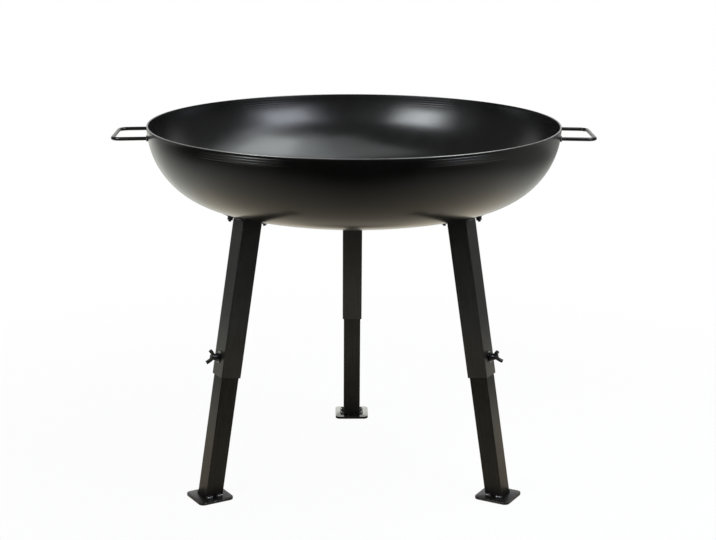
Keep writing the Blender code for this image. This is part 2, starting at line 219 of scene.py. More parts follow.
def dish_mesh():
    inner, outer = dish_side(SHEET)[:-1], dish_side(0)[:-1]
    corners = ((RIM_RADIUS - SHEET + EDGE_RADIUS, math.pi), (RIM_RADIUS - EDGE_RADIUS, math.pi / 2))
    rim = []
    for centre, start in corners:
        for i in range(EDGE_STEPS + 1):
            turn = start - math.pi / 2 * i / EDGE_STEPS
            height = RIM_HEIGHT - EDGE_RADIUS + EDGE_RADIUS * math.sin(turn)
            rim.append((centre + EDGE_RADIUS * math.cos(turn), height))
    bm = bmesh.new()
    points = [bm.verts.new((r, 0, z)) for r, z in inner + rim + outer[::-1]]
    edges = [bm.edges.new(pair) for pair in zip(points, points[1:])]
    bmesh.ops.spin(bm, geom=points + edges, axis=(0, 0, 1), cent=(0, 0, 0), angle=2 * math.pi,
                   steps=DISH_STEPS, use_merge=True)
    bmesh.ops.remove_doubles(bm, verts=bm.verts, dist=SEAM)
    bmesh.ops.recalc_face_normals(bm, faces=bm.faces)
    mesh = bpy.data.meshes.new("dish")
    bm.to_mesh(mesh)
    bm.free()
    mesh.shade_smooth()
    return mesh


dish = place("dish", dish_mesh(), ROOT, "bowl_black", replaces=["bowl"])
print("dish:", len(dish.data.polygons), "faces")

# %% [markdown]
# ## Weld beads
# A bead is a row of overlapping puddles, each a crescent on the last. A fat sweep whose radius swells once a
# puddle, with a little unevenness, gives that look, and its lumps catch the light as the real ones do.

# %% Weld bead
PUDDLE = 0.0022
PUDDLE_RINGS = 6             # rings of the mesh in each puddle
PUDDLE_CHANGE = 0.22         # how much the puddles differ in size
PUDDLE_WAIST = 0.12          # how far the bead narrows between them
BEAD_SIDES = 14
BEAD_TIP = 0.05              # least size at an open end, as a share
BEAD_BLUNTNESS = 8           # the larger, the later it dies away


def weld_bead(name, path, radius, up, closed=False, flat=0.8, seed=1):
    """A bead along a path; it dies away at its ends unless the path closes."""
    points = [Vector(point) for point in path]
    length = sum((b - a).length for a, b in zip(points, points[1:]))
    count = max(6, round(length / PUDDLE * PUDDLE_RINGS))
    spaced = []
    for i in range(count if closed else count + 1):
        travel = (len(points) - 1) * i / count
        k = min(int(travel), len(points) - 2)
        spaced.append(points[k].lerp(points[k + 1], travel - k))
    chance = random.Random(seed)
    swell = [1 + PUDDLE_CHANGE * (chance.random() - 0.5) for _ in range(round(length / PUDDLE) + 2)]

    def section(share):
        puddle = share * length / PUDDLE
        low, high = swell[int(puddle)], swell[int(puddle) + 1]
        even = low + (high - low) * (puddle % 1)
        size = radius * even * (1 - PUDDLE_WAIST + PUDDLE_WAIST * math.cos(2 * math.pi * puddle))
        if not closed:
            size *= max(BEAD_TIP, min(1, math.sqrt(max(0.0, 1 - (2 * share - 1) ** BEAD_BLUNTNESS))))
        turns = [2 * math.pi * j / BEAD_SIDES for j in range(BEAD_SIDES)]
        return [(size * math.cos(a), size * flat * math.sin(a)) for a in turns]

    return sweep(name, spaced, section, up, closed)


print("a weld bead has a puddle every", PUDDLE / MM, "mm")

# %% [markdown]
# ## The handles
# Each is a 7 mm rod, bent twice and welded to the wall, a finger's width below the rim. It droops a little
# towards the grip. A circle swept along the bent centreline is the rod itself.

# %% Rod of a handle
ROD_RADIUS = 0.0035
ROD_SIDES = 28
HANDLE_SPREAD = 0.120
HANDLE_REACH = 0.062
HANDLE_BEND = 0.016
HANDLE_ROOT = 0.006          # a straight start, so the weld sits on a round rod


def handle_path(steps=14):
    half = HANDLE_SPREAD / 2
    arc = [math.pi / 2 * i / steps for i in range(steps + 1)]
    front = [(HANDLE_REACH - HANDLE_BEND * (1 - math.sin(a)), -half + HANDLE_BEND * (1 - math.cos(a)), 0)
             for a in arc]
    back = [(x, -y, 0) for x, y, _ in reversed(front)]
    wall = math.sqrt(RIM_RADIUS**2 - half**2) - RIM_RADIUS
    return [(wall - SHEET / 2, -half, 0), (wall + HANDLE_ROOT, -half, 0), *front, *back,
            (wall + HANDLE_ROOT, half, 0), (wall - SHEET / 2, half, 0)]


def rod_section(share):
    turns = [2 * math.pi * j / ROD_SIDES for j in range(ROD_SIDES)]
    return [(ROD_RADIUS * math.cos(a), ROD_RADIUS * math.sin(a)) for a in turns]


print("a handle's centreline has", len(handle_path()), "points")

# %% Handles and their weld collars
HANDLE_DROP = 0.021
HANDLE_DROOP = math.radians(1)
COLLAR_RADIUS = 0.0042
COLLAR_BEAD = 0.0019
COLLAR_OUT = 0.0008

wall_radius = RIM_RADIUS - KNUCKLE_RADIUS + math.sqrt(KNUCKLE_RADIUS**2 - HANDLE_DROP**2)
handle_seat = (Matrix.Translation((wall_radius, 0, RIM_HEIGHT - HANDLE_DROP))
               @ Matrix.Rotation(HANDLE_DROOP, 4, "Y"))
for side, turn in (("right", 0.0), ("left", math.pi)):
    seat = Matrix.Rotation(turn, 4, "Z") @ handle_seat
    rod = sweep(f"handle_rod_{side}", handle_path(), rod_section, (0, 0, 1))
    place(f"handle_rod_{side}", rod, ROOT, "handle_black", seat, [f"handle_{side}"])
    for end, y in (("front", -HANDLE_SPREAD / 2), ("back", HANDLE_SPREAD / 2)):
        x = math.sqrt(wall_radius**2 - y**2) - wall_radius + COLLAR_OUT
        turns = [2 * math.pi * i / 40 for i in range(41)]
        ring = [(x, y + COLLAR_RADIUS * math.cos(a), COLLAR_RADIUS * math.sin(a)) for a in turns]
        name = f"handle_weld_{side}_{end}"
        bead = weld_bead(name, ring, COLLAR_BEAD, (1, 0, 0), closed=True, seed=len(side + end))
        place(name, bead, ROOT, "handle_black", seat)
print("handles:", [piece.name for piece in pieces["handle_black"]])

# %% [markdown]
# ## The legs
# Square tube is rolled from strip, so its corners are round and its faces carry fine lines along their
# length. Both cut ends get a small radius. The upper tube's top is cut to the dish's underside, the lower
# tube's foot is cut level.

# %% Shape of a tube
UPPER_TUBE = 0.040
LOWER_TUBE = 0.035
TUBE_WALL = 0.002
TUBE_CORNER = 0.0015
TUBE_INNER_CORNER = 0.0005
CUT_EDGE = 0.0004
MIDWAY = 0.3                 # the middle of a quarter round lies 0.3 of its radius in from each side


def tube_mesh(name, width, bottom, top):
    """A hollow square tube; bottom and top are cuts: (height on the axis, rise per metre of x)."""

    def ring(shrink, cut, shift):
        side = width - 2 * shrink
        corner = TUBE_INNER_CORNER if shrink == TUBE_WALL else TUBE_CORNER - shrink
        return [(x, y, cut[0] + cut[1] * x + shift) for x, y in rounded_square(side, side, corner)]

    part_way = CUT_EDGE * MIDWAY
    rings = [
        ring(CUT_EDGE, bottom, 0), ring(part_way, bottom, part_way), ring(0, bottom, CUT_EDGE),
        ring(0, top, -CUT_EDGE), ring(part_way, top, -part_way), ring(CUT_EDGE, top, 0),
        ring(TUBE_WALL, top, 0), ring(TUBE_WALL, bottom, 0),
    ]
    return skin(name, rings, closed=True)


print("room between the tubes:", round((UPPER_TUBE - 2 * TUBE_WALL - LOWER_TUBE) / 2 / MM, 2), "mm a side")

# %% [markdown]
# ## Where the legs meet the dish
# A leg's frame has its origin on the ground at the foot and its Z up the leaning tube. The crown is part of
# a sphere. Its centre, written in that frame, gives the strap's tilt and the cut of the upper tube's top.

# %% Legs
LEG_ANGLES = {"rear": 90, "left": 210, "right": 330}
FOOT_CIRCLE_RADIUS = 0.316
LEG_LEAN = math.radians(9.5)
UPPER_END = 0.235 / math.cos(LEG_LEAN)
LOWER_LENGTH = 0.400
PLATE_THICKNESS = 0.005
STRAP_THICKNESS = 0.003

centre_x = CROWN_CENTRE * math.sin(LEG_LEAN) - FOOT_CIRCLE_RADIUS * math.cos(LEG_LEAN)
centre_z = CROWN_CENTRE * math.cos(LEG_LEAN) + FOOT_CIRCLE_RADIUS * math.sin(LEG_LEAN)
seat_tilt = math.asin(centre_x / CROWN_RADIUS)
strap_bottom = GAP + STRAP_THICKNESS
seat_distance = CROWN_RADIUS + strap_bottom + GAP
seat_x = centre_x - seat_distance * math.sin(seat_tilt)
seat_z = centre_z - seat_distance * math.cos(seat_tilt)
seat_cut = (seat_z + seat_x * math.tan(seat_tilt), -math.tan(seat_tilt))
level_cut = ((PLATE_THICKNESS + GAP) / math.cos(LEG_LEAN), -math.tan(LEG_LEAN))
legs = {}
for side, angle in LEG_ANGLES.items():
    stand = (Matrix.Rotation(math.radians(angle), 4, "Z") @ Matrix.Translation((FOOT_CIRCLE_RADIUS, 0, 0))
             @ Matrix.Rotation(-LEG_LEAN, 4, "Y"))
    upper = tube_mesh(f"upper_tube_{side}", UPPER_TUBE, (UPPER_END, 0), seat_cut)
    lower = tube_mesh(f"lower_tube_{side}", LOWER_TUBE, level_cut, (level_cut[0] + LOWER_LENGTH, 0))
    place(f"upper_tube_{side}", upper, ROOT, "tube_black", stand, [f"leg_upper_{side}"])
    place(f"lower_tube_{side}", lower, f"extension_{side}", "tube_black", stand, [f"leg_lower_{side}"])
    legs[side] = stand
print("tubes:", 2 * len(legs), "- the upper ones cut", round(abs(math.degrees(seat_tilt)), 1),
      "degrees off square at the top")

# %% [markdown]
# ## The feet
# A foot is a square of 5 mm plate with round corners. It is welded on along the two sides of the tube that
# face round the circle, in short lumpy runs, so those beads are laid one by one.

# %% Shape of a foot plate
PLATE_SIDE = 0.070
PLATE_CORNER = 0.010
PLATE_EDGE = 0.0006
PLATE_EDGE_STEPS = 3


def plate_mesh(name):
    arc = [math.pi / 2 * i / PLATE_EDGE_STEPS for i in range(PLATE_EDGE_STEPS + 1)]
    levels = [(PLATE_EDGE * (1 - math.sin(a)), PLATE_EDGE * (1 - math.cos(a))) for a in arc]
    levels += [(shrink, PLATE_THICKNESS - height) for shrink, height in reversed(levels)]
    rings = []
    for shrink, height in levels:
        side = PLATE_SIDE - 2 * shrink
        outline = rounded_square(side, side, PLATE_CORNER - shrink, steps=8)
        rings.append([(x, y, height) for x, y in outline])
    return skin(name, rings)


print("a foot plate's corner takes off", round(PLATE_CORNER * (math.sqrt(2) - 1) / MM, 1), "mm")

# %% Foot plates and their welds
FOOT_BEADS = ((-0.010, -1), (0.0105, -1), (-0.0105, 1), (0.010, 1))      # middle of each run, and its side
FOOT_BEAD_HALF = 0.0062
FOOT_BEAD_RADIUS = 0.0048
FOOT_BEAD_OUT = 0.0022
FOOT_BEAD_UP = 0.0018

plate_level = Matrix.Rotation(LEG_LEAN, 4, "Y")
for side, stand in legs.items():
    level = stand @ plate_level
    name = f"foot_{side}"
    place(name, plate_mesh(name), f"extension_{side}", "plate_black", level, [f"foot_plate_{side}"])
    for number, (along, face) in enumerate(FOOT_BEADS):
        y = face * (LOWER_TUBE / 2 + FOOT_BEAD_OUT)
        run = [(along + FOOT_BEAD_HALF * (i / 4 - 1), y, PLATE_THICKNESS + FOOT_BEAD_UP) for i in range(9)]
        name = f"foot_weld_{side}_{number + 1}"
        bead = weld_bead(name, run, FOOT_BEAD_RADIUS, (0, 0, 1), seed=number + 3)
        place(name, bead, f"extension_{side}", "plate_black", level)
print("feet:", len(legs), "plates with", len(FOOT_BEADS), "beads each")

# %% [markdown]
# ## The straps
# A short flat bar is pressed to the dish's curve and welded across the top of each leg. Two coach bolts pull
# it against the dish. The bar is swept along an arc about the crown's centre.

# %% Shape of a strap
STRAP_LENGTH = 0.092
STRAP_WIDTH = 0.025
STRAP_CORNER = 0.0005
STRAP_STEPS = 24


def on_crown(along=0.0):
    """A frame on the dish's underside, +Z into the dish, that far outward along it from the leg's axis."""
    tilt = seat_tilt - along / CROWN_RADIUS
    return (Matrix.Translation((centre_x, 0, centre_z)) @ Matrix.Rotation(tilt, 4, "Y")
            @ Matrix.Translation((0, 0, -CROWN_RADIUS)))


def strap_mesh(name):
    middle = CROWN_RADIUS + GAP + STRAP_THICKNESS / 2
    outline = rounded_square(STRAP_WIDTH, STRAP_THICKNESS, STRAP_CORNER, hold=0.0003, steps=3)
    turns = [STRAP_LENGTH * (i / STRAP_STEPS - 0.5) / CROWN_RADIUS for i in range(STRAP_STEPS + 1)]
    path = [(middle * math.sin(a), 0, CROWN_RADIUS - middle * math.cos(a)) for a in turns]
    return sweep(name, path, lambda share: outline, (0, 0, 1))


print("a strap bends by", round(math.degrees(STRAP_LENGTH / CROWN_RADIUS), 1), "degrees over its length")

# %% Straps and their welds
STRAP_BEAD_RADIUS = 0.0028
STRAP_BEAD_OUT = 0.0016      # far enough out for the lower tube to slide past
STRAP_BEAD_DOWN = 0.0018

for side, stand in legs.items():
    name = f"strap_bar_{side}"
    place(name, strap_mesh(name), ROOT, "tube_black", stand @ on_crown(), [f"strap_{side}"])
    for end, face in (("inner", -1), ("outer", 1)):
        x = face * (UPPER_TUBE / 2 + STRAP_BEAD_OUT)
        z = seat_cut[0] + seat_cut[1] * x - STRAP_BEAD_DOWN
        run = [(x, y * MM, z) for y in range(-16, 17, 2)]
        name = f"strap_weld_{side}_{end}"
        bead = weld_bead(name, run, STRAP_BEAD_RADIUS, (0, 0, 1), seed=face + 5)
        place(name, bead, ROOT, "tube_black", stand)
print("straps:", len(legs), "bars, each", STRAP_LENGTH / MM, "mm long")

# %% [markdown]
# ## Threads and nuts
# A thread is a groove that climbs one pitch each turn. On a grid of angle and height the radius only has to
# follow height minus angle, which gives a true helix. A nut is the lesser of a hexagon and a cone, and
# that is how the curved edges on its corners come about.

# %% Thread
THREAD_DEPTH = 0.61          # as a share of the pitch
THREAD_RINGS = 8             # rings of the mesh in each pitch


def thread_rings(radius, pitch, bottom, top, steps=48):
    """Rings whose radius follows the helix, with a lead-in at the bottom."""
    depth = THREAD_DEPTH * pitch
    levels = max(2, round((top - bottom) / pitch * THREAD_RINGS))
    rings = []
    for i in range(levels + 1):
        z = bottom + (top - bottom) * i / levels
        ring = []
        for j in range(steps):
            turn = 2 * math.pi * j / steps
            phase = (z / pitch - j / steps) % 1
            cut = depth * (1 - abs(2 * phase - 1))
            size = min(radius - cut, radius - depth + (z - bottom))
            ring.append((size * math.cos(turn), size * math.sin(turn), z))
        rings.append(ring)
    return rings


print("rings in ten turns of thread:", len(thread_rings(0.003, 0.001, 0, 0.010)))

# %% Nut
NUT_FACE = 0.48              # radius of a nut's round end face, as a share of its flats
NUT_CHAMFER = math.radians(30)
BORE_CHAMFER = 0.12          # as a share of the bore's radius


def nut_mesh(name, flats, height, bore, bottom, steps=72):
    slope = 1 / math.tan(NUT_CHAMFER)
    rise = flats * (1 / math.sqrt(3) - NUT_FACE) / slope
    levels = [rise * i / 4 for i in range(5)]
    levels += [height - level for level in reversed(levels)]
    rings = []
    for level in levels:
        cone = flats * NUT_FACE + min(level, height - level) * slope
        ring = []
        for j in range(steps):
            turn = 2 * math.pi * j / steps
            side = flats / 2 / math.cos(turn % (math.pi / 3) - math.pi / 6)
            reach = min(side, cone)
            ring.append((reach * math.cos(turn), reach * math.sin(turn), bottom + level))
        rings.append(ring)
    wide, chamfer = bore * (1 + BORE_CHAMFER), bore * BORE_CHAMFER
    for radius, level in ((wide, height), (bore, height - chamfer), (bore, chamfer), (wide, 0)):
        rings.append(circle(radius, bottom + level, steps))
    return skin(name, rings, closed=True, crease=25)


print("a nut's corners lie", round(100 * (2 / math.sqrt(3) - 1)), "% further out than its flats")

# %% [markdown]
# ## Bolts under the dish
# A coach bolt has a low domed head, a square neck that can't turn in its hole, and a thread. Its head lies in
# the dish. Under the strap come a washer and a nut, and the end of the thread stands out of the nut.

# %% Coach bolt
BOLT_RADIUS = 0.003
BOLT_PITCH = 0.001
BOLT_HEAD_RADIUS = 0.008
BOLT_HEAD_HEIGHT = 0.0034
BOLT_END = 0.003
HEAD_LAND = 0.0002           # height of the head's rim under its dome
HEAD_SEAT = 0.97             # width of the head's flat underside, as a share
HEAD_TURN = math.radians(86)      # the dome's rings stop just short of its top
WASHER_THICKNESS = 0.0016
NUT_HEIGHT = 0.005

washer_bottom = strap_bottom + GAP + WASHER_THICKNESS
nut_bottom = washer_bottom + GAP + NUT_HEIGHT


def coach_bolt_mesh(name):
    seat = SHEET + GAP
    rings = thread_rings(BOLT_RADIUS, BOLT_PITCH, -nut_bottom - BOLT_END, -GAP)
    for height in (-HEAD_LAND, seat):
        ring = []
        for x, y, z in circle(BOLT_RADIUS, height):
            reach = BOLT_RADIUS / max(abs(x), abs(y))
            ring.append((x * reach, y * reach, z))
        rings.append(ring)
    rings.append(circle(BOLT_HEAD_RADIUS * HEAD_SEAT, seat))
    for i in range(9):
        turn = HEAD_TURN * i / 8
        height = seat + HEAD_LAND + BOLT_HEAD_HEIGHT * math.sin(turn)
        rings.append(circle(BOLT_HEAD_RADIUS * math.cos(turn), height))
    return skin(name, rings)


print("a coach bolt reaches", round((nut_bottom + BOLT_END) / MM, 1), "mm below the dish")

# %% Washers, and all the fasteners of the straps
BOLT_SPACING = 0.072
WASHER_RADIUS = 0.0062
WASHER_EDGE = 0.0002
NUT_FLATS = 0.010
THREAD_ROOM = 0.0001         # from a bolt's crests to its nut's bore


def washer_mesh(name):
    hole, bottom = BOLT_RADIUS + GAP, -washer_bottom
    top = bottom + WASHER_THICKNESS
    profile = [(hole, bottom + WASHER_EDGE), (hole + WASHER_EDGE, bottom),
               (WASHER_RADIUS - WASHER_EDGE, bottom), (WASHER_RADIUS, bottom + WASHER_EDGE),
               (WASHER_RADIUS, top - WASHER_EDGE), (WASHER_RADIUS - WASHER_EDGE, top),
               (hole + WASHER_EDGE, top), (hole, top - WASHER_EDGE)]
    return skin(name, [circle(r, z) for r, z in profile], closed=True)


for side, stand in legs.items():
    for end, along in (("inner", -BOLT_SPACING / 2), ("outer", BOLT_SPACING / 2)):
        seat = stand @ on_crown(along)
        tag = f"{side}_{end}"
        bolt = coach_bolt_mesh(f"bolt_{tag}")
        place(f"bolt_{tag}", bolt, ROOT, "fastener_black", seat, [f"coach_bolt_{tag}"])
        place(f"ring_{tag}", washer_mesh(f"ring_{tag}"), ROOT, "fastener_black", seat, [f"washer_{tag}"])
        nut = nut_mesh(f"hex_{tag}", NUT_FLATS, NUT_HEIGHT, BOLT_RADIUS + THREAD_ROOM, -nut_bottom)
        place(f"hex_{tag}", nut, ROOT, "fastener_black", seat, [f"nut_{tag}"])
print("fasteners under the dish:", len(pieces["fastener_black"]))

# %% [markdown]
# ## The clamps
# A nut is tacked over a hole in the upper tube, above and below, and a wing bolt in it presses on the lower
# tube. Wing bolts are cast: hub and ears flow into each other. A fine voxel remesh fuses the turned hub and
# the two swept ears into such a body, and smoothing rounds it as sand does.

# %% Shape of a wing bolt's ear
CLAMP_NUT_HEIGHT = 0.0065
HUB_STANDOFF = 0.0012
HUB_TOP_RADIUS = 0.0055
WING_SPAN = 0.032
WING_HEIGHT = 0.0176
EAR_ROOT = 0.0055
EAR_LEAN = math.radians(27)
EAR_WIDTH = 0.0066           # the ears are fuller than the solid's, as they are in the picture
EAR_THICKNESS = 0.0050
EAR_CORNER = 0.0012
EAR_STEPS = 12
EAR_TIP = 0.7                # how far the centreline stops short of the tip, in half widths

hub_base = GAP + CLAMP_NUT_HEIGHT + HUB_STANDOFF


def ear_mesh(name, side):
    half = EAR_WIDTH / 2
    start = Vector((HUB_TOP_RADIUS - half, hub_base + EAR_ROOT))
    end = Vector((WING_SPAN / 2 - half * EAR_TIP, hub_base + WING_HEIGHT - half * EAR_TIP))
    middle = start + (end - start).length / 2 * Vector((math.cos(EAR_LEAN), math.sin(EAR_LEAN)))
    path = []
    for i in range(EAR_STEPS + 1):
        t = i / EAR_STEPS
        point = start * (1 - t) ** 2 + middle * 2 * t * (1 - t) + end * t**2
        path.append((side * point.x, 0, point.y))
    outline = rounded_square(EAR_WIDTH, EAR_THICKNESS, EAR_CORNER)
    return sweep(name, path, lambda share: outline, (0, 1, 0.0001))


print("an ear starts", round((hub_base + EAR_ROOT) / MM, 1), "mm from the tube")

# %% Casting of hub and ears
HUB_RADIUS = 0.0065
HUB_LENGTH = 0.010
HUB_CHAMFER = 0.0006
VOXEL = 0.00035
SMOOTHINGS = 8


def wing_mesh(name):
    top = hub_base + HUB_LENGTH
    hub = skin(name, [circle(HUB_RADIUS, hub_base), circle(HUB_TOP_RADIUS, top - HUB_CHAMFER),
                      circle(HUB_TOP_RADIUS - HUB_CHAMFER, top)])
    body = bpy.data.objects.new(name, hub)
    bpy.context.scene.collection.objects.link(body)
    ears = []
    for side in (-1, 1):
        ear = bpy.data.objects.new(f"{name}_ear", ear_mesh(f"{name}_ear", side))
        bpy.context.scene.collection.objects.link(ear)
        ears.append(ear)
        union = body.modifiers.new("ear", "BOOLEAN")
        union.object, union.operation = ear, "UNION"
    remesh = body.modifiers.new("cast", "REMESH")
    remesh.mode, remesh.voxel_size, remesh.use_smooth_shade = "VOXEL", VOXEL, True
    soften = body.modifiers.new("soften", "SMOOTH")
    soften.factor, soften.iterations = 0.5, SMOOTHINGS
    bpy.context.view_layer.update()
    mesh = bpy.data.meshes.new_from_object(body.evaluated_get(bpy.context.evaluated_depsgraph_get()))
    mesh.shade_smooth()
    for tool in [body, *ears]:
        bpy.data.objects.remove(tool, do_unlink=True)
    return mesh


print("voxels through an ear:", round(EAR_THICKNESS / VOXEL))

# %% Clamps
CLAMP_HEIGHT = 0.036
CLAMP_RADIUS = 0.004
CLAMP_PITCH = 0.00125
CLAMP_NUT_FLATS = 0.013
TACK_OUT = 0.0086
TACK_UP = 0.0012
TACK_RADIUS = 0.0026
SHANK_IN_HUB = 0.001
WING_TURNS = {"rear": math.radians(15), "left": math.radians(-20), "right": math.radians(35)}

for side, stand in legs.items():
    screw = (stand @ Matrix.Translation((UPPER_TUBE / 2, 0, UPPER_END + CLAMP_HEIGHT))
             @ Matrix.Rotation(math.pi / 2, 4, "Y"))
    bore = CLAMP_RADIUS + THREAD_ROOM
    nut = nut_mesh(f"clamp_hex_{side}", CLAMP_NUT_FLATS, CLAMP_NUT_HEIGHT, bore, GAP)
    place(f"clamp_hex_{side}", nut, ROOT, "fastener_black", screw, [f"clamp_nut_{side}"])
    for number, reach in ((1, -1), (2, 1)):
        run = [(reach * TACK_OUT, y * MM, TACK_UP) for y in range(-3, 4)]
        name = f"clamp_tack_{side}_{number}"
        tack = weld_bead(name, run, TACK_RADIUS, (0, 0, 1), seed=number + 8)
        place(name, tack, ROOT, "tube_black", screw)
    turned = screw @ Matrix.Rotation(WING_TURNS[side], 4, "Z")
    wing = wing_mesh(f"wing_{side}")
    place(f"wing_{side}", wing, f"clamp_{side}", "fastener_black", turned, [f"wing_bolt_{side}"])
    tip = (LOWER_TUBE - UPPER_TUBE) / 2 + GAP
    shank = skin(f"wing_shank_{side}", thread_rings(CLAMP_RADIUS, CLAMP_PITCH, tip, hub_base + SHANK_IN_HUB))
    place(f"wing_shank_{side}", shank, f"clamp_{side}", "fastener_black", turned)
print("clamps: wing of", len(wing.polygons), "faces")

# %% [markdown]
# ## Colour and nodes
# Colours are written as they look on a screen, so one function turns a hex value to the linear light that
# the renderer counts in. One other function adds a shader node, sets it and links it. Every finish starts as
# an empty material with coordinates in metres, and ends with its colour, its roughness and its bump.

# %% Colour and node helpers
MIX_A, MIX_B, MIX_OUT = 6, 7, 2      # a Mix node's colour sockets


def linear(hex_colour):
    channels = [int(hex_colour[i:i + 2], 16) / 255 for i in (1, 3, 5)]
    return [c / 12.92 if c <= 0.04045 else ((c + 0.055) / 1.055) ** 2.4 for c in channels] + [1.0]


def add(tree, kind, inputs=None, **settings):
    """A node with its settings. Each input is a value or the output of another node."""
    node = tree.nodes.new(kind)
    for name, value in settings.items():
        setattr(node, name, value)
    for name, value in (inputs or {}).items():
        if isinstance(value, bpy.types.NodeSocket):
            tree.links.new(value, node.inputs[name])
        else:
            node.inputs[name].default_value = value
    return node


def new_material(name, ior=1.5):
    """An empty material of that name: its node tree, its shader and its coordinates in metres."""
    material = bpy.data.materials.new(name)
    material.use_nodes = True
    tree = material.node_tree
    shader = tree.nodes["Principled BSDF"]
    shader.inputs["IOR"].default_value = ior
    return material, tree, shader, add(tree, "ShaderNodeTexCoord").outputs["Object"]


def finish_with(tree, shader, colour, roughness, height, depth):
    """Colour and roughness from sockets, and a bump whose height of one is that deep in metres."""
    tree.links.new(colour, shader.inputs["Base Color"])
    tree.links.new(roughness, shader.inputs["Roughness"])
    bump = add(tree, "ShaderNodeBump", {"Height": height, "Distance": depth, "Strength": 1.0})
    tree.links.new(bump.outputs["Normal"], shader.inputs["Normal"])


print("the black #0d0c0b on a screen is", round(linear("#0d0c0b")[0], 4), "of full light")

# %% [markdown]
# ## Paint of the dish: what the noise follows
# The dish is spun steel under black heat-proof silicone paint, sprayed and baked. Its dense mineral pigment
# lifts the index of refraction above that of a clear binder, so the lamps show as soft patches. Marks of
# spinning depend only on radius and height, so their noise reads those two. Spray grain and cloudiness know
# nothing of the lathe, so they read all three coordinates.

# %% Coordinates and noises of the dish
SPIN_LINE = 0.0035
CLOUD_SIZE = 0.055
PATCH_SIZE = 0.09
GRIT_SIZE = 0.0016           # drawn three times as coarse as real spray grain, to show at all

paint_dish, tree, shader, place_m = new_material("silicone_paint_on_spun_steel", 1.7)
axes = add(tree, "ShaderNodeSeparateXYZ", {"Vector": place_m})
height = axes.outputs["Z"]
flat = add(tree, "ShaderNodeVectorMath", {0: place_m, 1: (1, 1, 0)}, operation="MULTIPLY")
radius = add(tree, "ShaderNodeVectorMath", {
    0: flat.outputs["Vector"]}, operation="LENGTH").outputs["Value"]
turned = add(tree, "ShaderNodeCombineXYZ", {"X": radius, "Y": height}).outputs["Vector"]
broken = add(tree, "ShaderNodeTexNoise", {
    "Vector": place_m, "Scale": 1 / PATCH_SIZE, "Detail": 2.0}).outputs["Fac"]
spin = add(tree, "ShaderNodeTexNoise", {
    "Vector": turned, "Scale": 1 / SPIN_LINE, "Detail": 3.0}).outputs["Fac"]
cloud = add(tree, "ShaderNodeTexNoise", {
    "Vector": place_m, "Scale": 1 / CLOUD_SIZE, "Detail": 4.0}).outputs["Fac"]
grit = add(tree, "ShaderNodeTexNoise", {
    "Vector": place_m, "Scale": 1 / GRIT_SIZE, "Detail": 2.0}).outputs["Fac"]
noise_sizes = (SPIN_LINE, CLOUD_SIZE, PATCH_SIZE, GRIT_SIZE)
print("noises of the dish, in mm:", [round(size / MM, 1) for size in noise_sizes])

# %% [markdown]
# ## The roller's rings
# They show through the paint most of all between 4 and 21 mm below the rim, where they lie 4.5 mm apart:
# they tip the wall far enough to catch the lamps as fine bright lines. They are deeper at six places round
# the rim, as if the disc was held there, and shallow inside. They are too fine for the mesh, so they are
# bump. One mask says where each of these things holds, and the masks are multiplied.

# %% Rings
RING_SPACING = 0.0045
RING_TOP = 0.004
RING_BOTTOM = 0.021
GRIPS = 6
BETWEEN_GRIPS = 0.12         # how much of their depth the rings keep between those places,
INSIDE_WALL = 0.25           # on the inner face
LEAST_EVEN = 0.8             # and in the faintest patches

turn = add(tree, "ShaderNodeMath", {0: height, 1: 2 * math.pi / RING_SPACING}, operation="MULTIPLY")
rings = add(tree, "ShaderNodeMath", {0: turn.outputs["Value"]}, operation="SINE").outputs["Value"]
above_bottom = add(tree, "ShaderNodeMapRange", {
    "Value": height, "From Min": RIM_HEIGHT - RING_BOTTOM, "From Max": RIM_HEIGHT - RING_BOTTOM + 0.003})
below_top = add(tree, "ShaderNodeMapRange", {
    "Value": height, "From Min": RIM_HEIGHT - RING_TOP + 0.001, "From Max": RIM_HEIGHT - RING_TOP - 0.001})
angle = add(tree, "ShaderNodeMath", {0: axes.outputs["Y"], 1: axes.outputs["X"]}, operation="ARCTAN2")
angle = add(tree, "ShaderNodeMath", {0: angle.outputs["Value"], 1: GRIPS}, operation="MULTIPLY")
grip = add(tree, "ShaderNodeMath", {0: angle.outputs["Value"]}, operation="COSINE")
held = add(tree, "ShaderNodeMapRange", {
    "Value": grip.outputs["Value"], "From Min": 0.0, "From Max": 1.0, "To Min": BETWEEN_GRIPS, "To Max": 1.0})
uneven = add(tree, "ShaderNodeMapRange", {
    "Value": broken, "From Min": 0.35, "From Max": 0.65, "To Min": LEAST_EVEN})
outside = add(tree, "ShaderNodeMapRange", {
    "Value": radius, "From Min": RIM_RADIUS - 0.0028, "From Max": RIM_RADIUS - 0.0018, "To Min": INSIDE_WALL})
for mask in (above_bottom, outside, below_top, held, uneven):
    rings = add(tree, "ShaderNodeMath", {
        0: rings, 1: mask.outputs["Result"]}, operation="MULTIPLY").outputs["Value"]
print("rings on the wall:", round((RING_BOTTOM - RING_TOP) / RING_SPACING, 1),
      "and deeper at", GRIPS, "places")

# %% [markdown]
# ## Colour and gloss of the dish
# Bump, colour and gloss come together here. The bump's unit is a tenth of a millimetre. The spray fell drier
# inside, so the lamps' patches are softer there. On the rim's outer edge the paint is rubbed off, most where
# the disc was held, and the steel shines there.

# %% Silicone paint and bare rim
BUMP_UNIT = 0.0001
RING_DEPTH, SPIN_DEPTH, GRIT_DEPTH = 2.8, 0.10, 0.025      # in bump units
DRY_SPRAY = 0.03             # added to the roughness inside
STEEL_ROUGHNESS = 0.12       # added to it on bare steel

